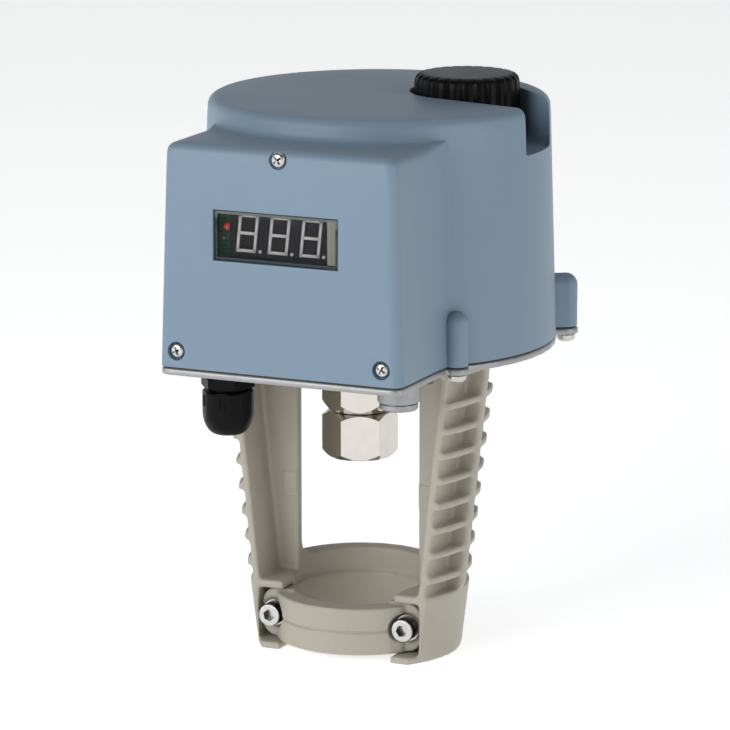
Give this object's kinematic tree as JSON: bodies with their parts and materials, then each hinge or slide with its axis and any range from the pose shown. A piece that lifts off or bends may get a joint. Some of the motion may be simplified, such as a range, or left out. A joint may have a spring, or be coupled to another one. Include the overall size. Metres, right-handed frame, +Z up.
{
  "type": "motorized valve actuator",
  "caption": "Electric linear valve actuator: moulded cover with digital display and hand knob over a die-cast ribbed yoke with neck clamp and stem coupling nut.",
  "frame": {"origin": "bottom centre of the whole box: on the underside of the yoke, 5.9 mm behind the stem axis", "axes": "+Z up along the stem, -Y towards the display front, +X to the right of the display"},
  "size_m": [0.13, 0.152, 0.2087],
  "materials": {
    "housing_blue": "satin blue-grey moulded cover",
    "yoke_beige": "fine powder coat on a die casting",
    "cast_aluminium": "satin die cast",
    "black_plastic": "fine moulded black",
    "black_rubber": "matt",
    "nickel": "bright nickel plate",
    "stainless": "turned stainless steel",
    "zinc_steel": "zinc-plated sheet and turned steel",
    "brass": "machined",
    "gear_nylon": "natural nylon",
    "board_green": "solder-resist green laminate",
    "clear_lens": "clear moulded window",
    "led_red": "diffused lens",
    "terminal_green": "moulded terminal block",
    "transformer_tape": "yellow insulating tape"
  },
  "bodies": {
    "housing": {"top_cover": "housing_blue", "cover_gasket": "black_rubber", "base_plate": "cast_aluminium", "cover_screw_1": "stainless", "cover_screw_2": "stainless", "cover_screw_3": "stainless", "cover_screw_4": "stainless", "front_screw_1": "stainless", "front_screw_2": "stainless", "front_screw_3": "stainless", "display_window": "clear_lens", "display_module": "black_plastic", "status_led": "led_red", "display_board": "board_green", "board_carrier": "black_plastic", "control_board": "board_green", "transformer": "transformer_tape", "capacitor": "black_plastic", "terminal_block": "terminal_green", "yoke": "yoke_beige", "yoke_screw_1": "stainless", "yoke_screw_2": "stainless", "yoke_screw_3": "stainless", "yoke_screw_4": "stainless", "clamp_bar": "yoke_beige", "clamp_washer_left": "stainless", "clamp_screw_left": "stainless", "clamp_washer_right": "stainless", "clamp_screw_right": "stainless", "gland_body": "black_plastic", "gland_cap": "black_plastic", "gland_seal": "black_rubber", "gland_locknut": "nickel", "blanking_plug": "cast_aluminium", "gear_plate": "zinc_steel", "gear_plate_pillar_1": "zinc_steel", "gear_plate_pillar_2": "zinc_steel", "gear_plate_pillar_3": "zinc_steel", "lower_bearing": "stainless", "upper_bearing": "stainless", "guide_rod": "stainless", "switch_bracket": "zinc_steel", "limit_switch_lower": "black_plastic", "limit_switch_upper": "black_plastic", "wheel_shaft": "stainless", "motor": "zinc_steel", "shaft_seal": "black_rubber"},
    "drive": {"drive_gear": "brass"},
    "intermediate": {"intermediate_gear": "gear_nylon"},
    "rotor": {"motor_pinion": "brass"},
    "knob": {"hand_knob": "black_plastic", "knob_shaft": "stainless", "knob_gear": "gear_nylon"},
    "stem": {"spindle": "stainless", "lock_nut": "nickel", "trip_arm": "zinc_steel", "arm_clip": "zinc_steel"},
    "coupling": {"union_nut": "nickel"}
  },
  "joints": [
    {"name": "drive_spin", "type": "hinge", "parent": "housing", "child": "drive", "pos_m": [0, -0.00585, 0.12], "axis": [0, 0, 1], "range_deg": [0, 1800]},
    {"name": "stem_travel", "type": "slide", "parent": "housing", "child": "stem", "axis": [0, 0, -1], "range_m": [0, 0.02]},
    {"name": "intermediate_spin", "type": "hinge", "parent": "housing", "child": "intermediate", "pos_m": [-0.02873, 0.01825, 0.12], "axis": [0, 0, 1], "range_deg": [-7200, 0]},
    {"name": "rotor_spin", "type": "hinge", "parent": "housing", "child": "rotor", "pos_m": [-0.02252, 0.04144, 0.14], "axis": [0, 0, 1], "range_deg": [0, 24219]},
    {"name": "knob_turn", "type": "hinge", "parent": "housing", "child": "knob", "pos_m": [0.02639, 0.0306, 0.19], "axis": [0, 0, 1], "range_deg": [-3600, 0]},
    {"name": "coupling_spin", "type": "hinge", "parent": "stem", "child": "coupling", "pos_m": [0, -0.00585, 0.0776], "axis": [0, 0, 1], "continuous": true}
  ],
  "couplings": [
    {"joint": "stem_travel", "follows": "drive_spin", "m_per_rad": 0.00063662},
    {"joint": "intermediate_spin", "follows": "drive_spin", "ratio": -4},
    {"joint": "rotor_spin", "follows": "drive_spin", "ratio": 13.455},
    {"joint": "knob_turn", "follows": "drive_spin", "ratio": -2}
  ]
}
